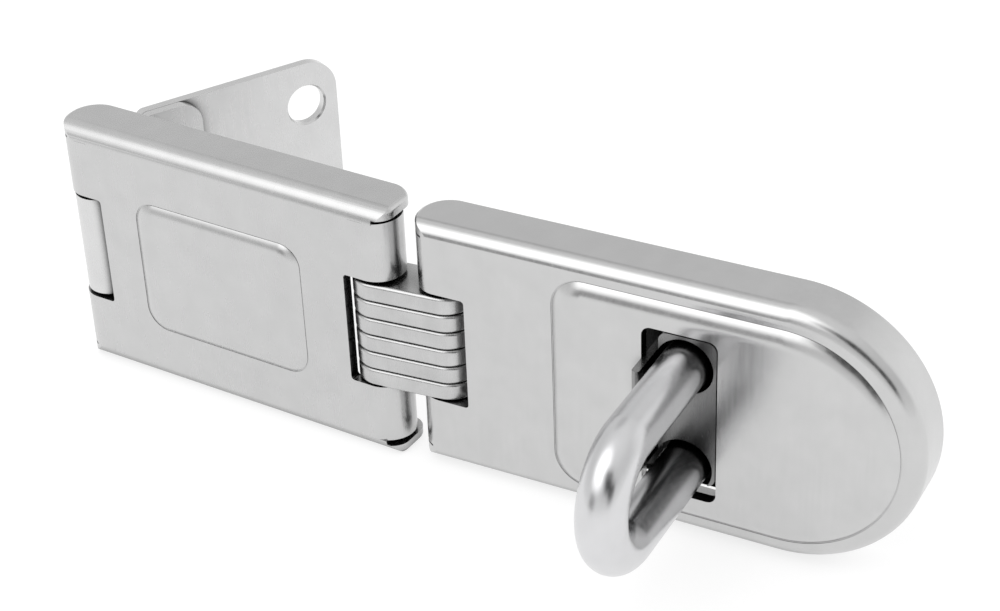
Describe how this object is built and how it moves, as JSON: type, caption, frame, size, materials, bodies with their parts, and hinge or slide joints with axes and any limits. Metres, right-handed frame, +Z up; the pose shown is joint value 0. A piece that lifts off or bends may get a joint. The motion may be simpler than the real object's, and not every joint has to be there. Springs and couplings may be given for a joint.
{
  "type": "articulated safety hasp",
  "caption": "Steel safety hasp: a screw-on plate, two pressed covers joined by a pack of flat links on hidden pins, and a round-bar staple on its own base.",
  "frame": {"origin": "centre of the mounting plate's two screw holes, on the wall face", "axes": "+Z up along the hinge pins; +X along the mounting plate, away from its pin; the screw-head side faces -Y"},
  "size_m": [0.1043, 0.178, 0.06],
  "materials": {
    "plated_sheet": "bright zinc-plated pressed steel, satin",
    "plated_bar": "bright plated hardened bar, polished",
    "plated_links": "plated, edges tumbled smooth",
    "pin_steel": "plain steel, hidden"
  },
  "bodies": {
    "wall_plate": {"mounting_plate": "plated_sheet"},
    "leaf": {"leaf_cover": "plated_sheet", "plate_pin": "pin_steel", "leaf_link_pin": "pin_steel"},
    "link_pack": {"link_1": "plated_links", "link_2": "plated_links", "link_3": "plated_links", "link_4": "plated_links", "link_5": "plated_links", "link_6": "plated_links"},
    "hasp": {"hasp_cover": "plated_sheet", "hasp_link_pin": "pin_steel", "staple": "plated_bar", "staple_base": "plated_sheet"}
  },
  "joints": [
    {"name": "plate_hinge", "type": "hinge", "parent": "wall_plate", "child": "leaf", "pos_m": [-0.0545, -0.00625, 0], "axis": [0, 0, 1], "range_deg": [-115.9, 64.1]},
    {"name": "leaf_link_hinge", "type": "hinge", "parent": "leaf", "child": "link_pack", "pos_m": [-0.02174, -0.07372, 0], "axis": [0, 0, 1], "range_deg": [-78, 82]},
    {"name": "link_hasp_hinge", "type": "hinge", "parent": "link_pack", "child": "hasp", "pos_m": [-0.01321, -0.08642, 0], "axis": [0, 0, 1], "range_deg": [-66.1, 93.9]}
  ]
}
